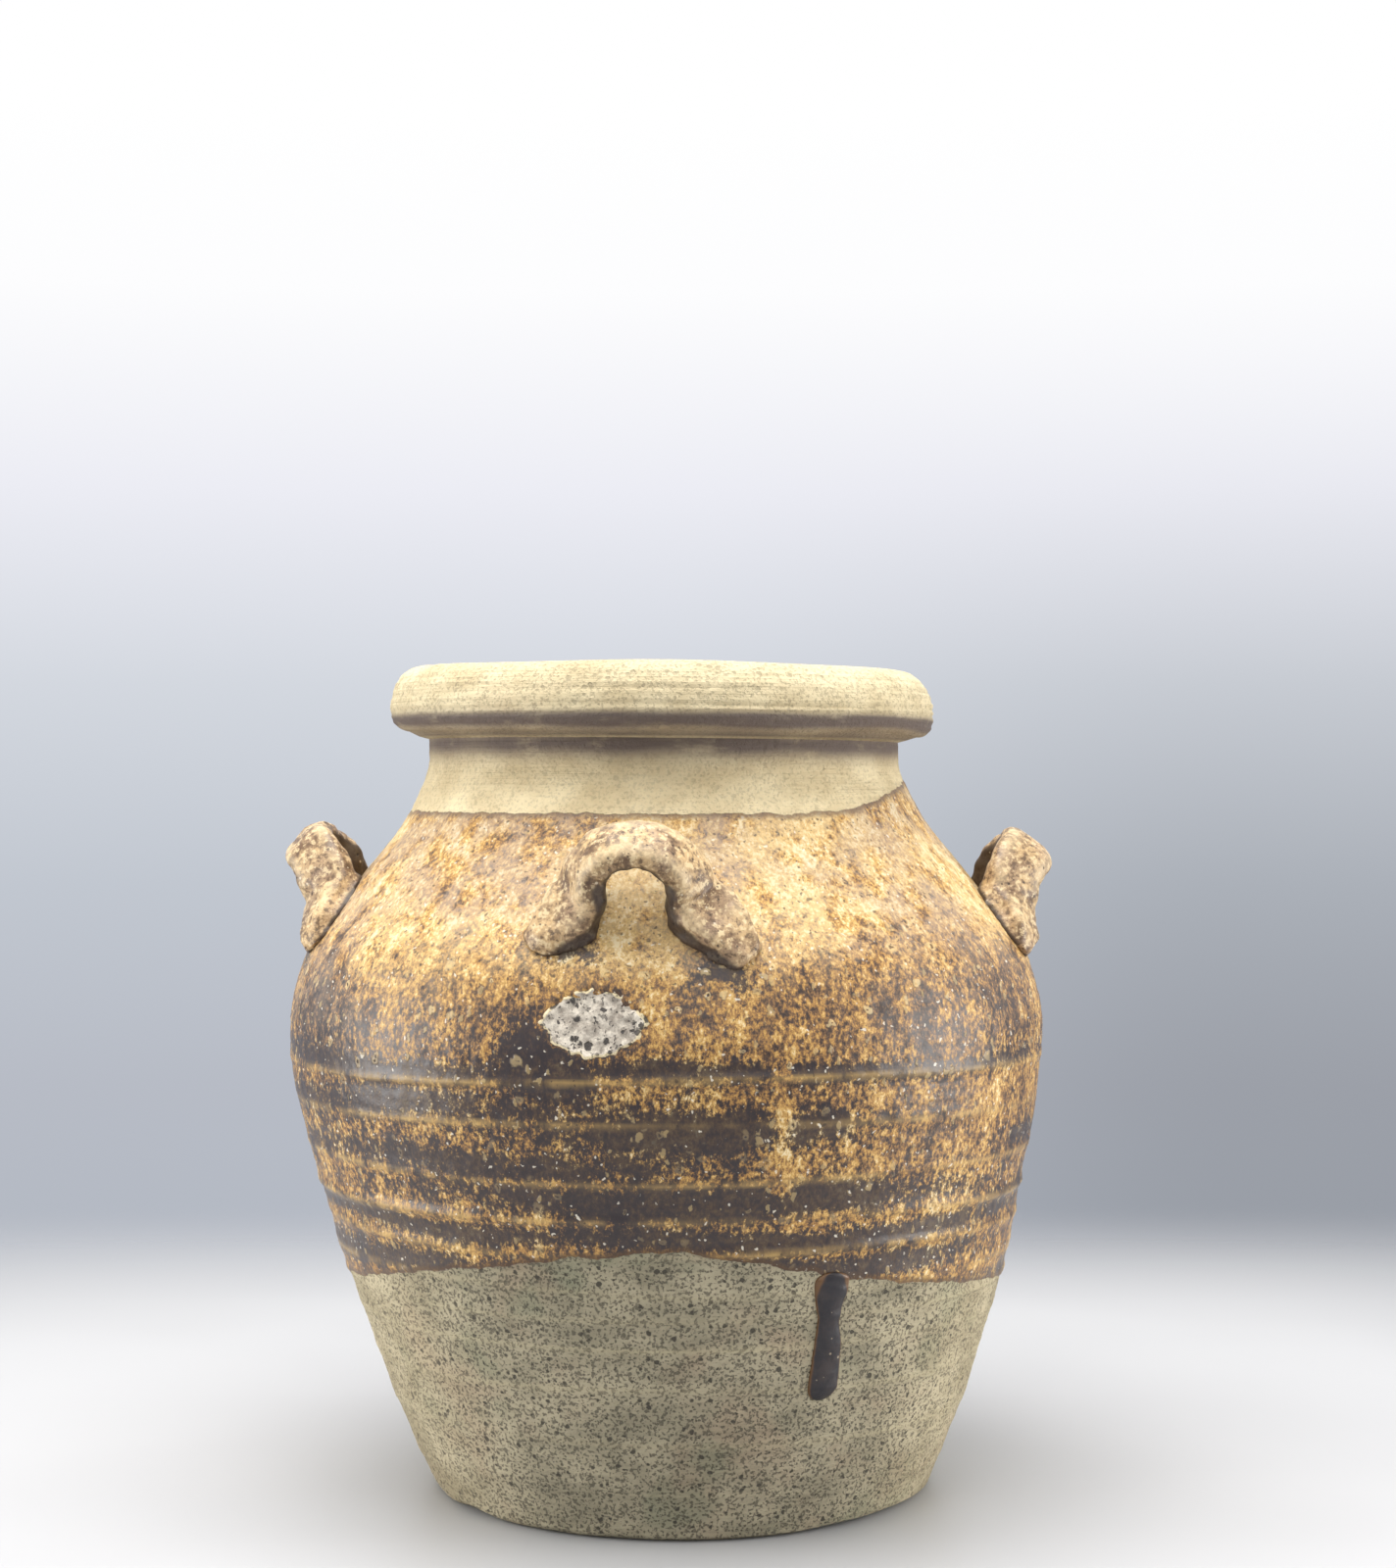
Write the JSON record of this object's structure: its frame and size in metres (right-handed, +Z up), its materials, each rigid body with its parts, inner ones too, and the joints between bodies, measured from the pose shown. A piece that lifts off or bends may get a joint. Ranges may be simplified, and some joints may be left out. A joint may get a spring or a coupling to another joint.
{
  "type": "martaban jar",
  "caption": "Stoneware storage jar with rolled rim, short neck, brown glaze to below the belly and strap lugs on the shoulder.",
  "frame": {"origin": "centre of the foot on the floor", "axes": "+Z up out of the mouth. The pictured front faces -Y, and +X is to its right"},
  "size_m": [0.1802, 0.1778, 0.1895],
  "materials": {
    "stoneware_body": "matte",
    "stoneware_rim": "matte",
    "brown_glaze": "satin",
    "lug_glaze": "satin",
    "dark_glaze": "gloss",
    "scar_clay": "matte"
  },
  "bodies": {
    "root": {"base_slab": "stoneware_body", "lower_wall": "stoneware_body", "belly_wall": "brown_glaze", "shoulder_wall": "brown_glaze", "neck_collar": "stoneware_rim", "rim_roll": "stoneware_rim", "lug_front": "lug_glaze", "lug_right": "lug_glaze", "lug_back": "lug_glaze", "lug_left": "lug_glaze", "glaze_run": "dark_glaze", "kiln_scar": "scar_clay"}
  },
  "joints": []
}
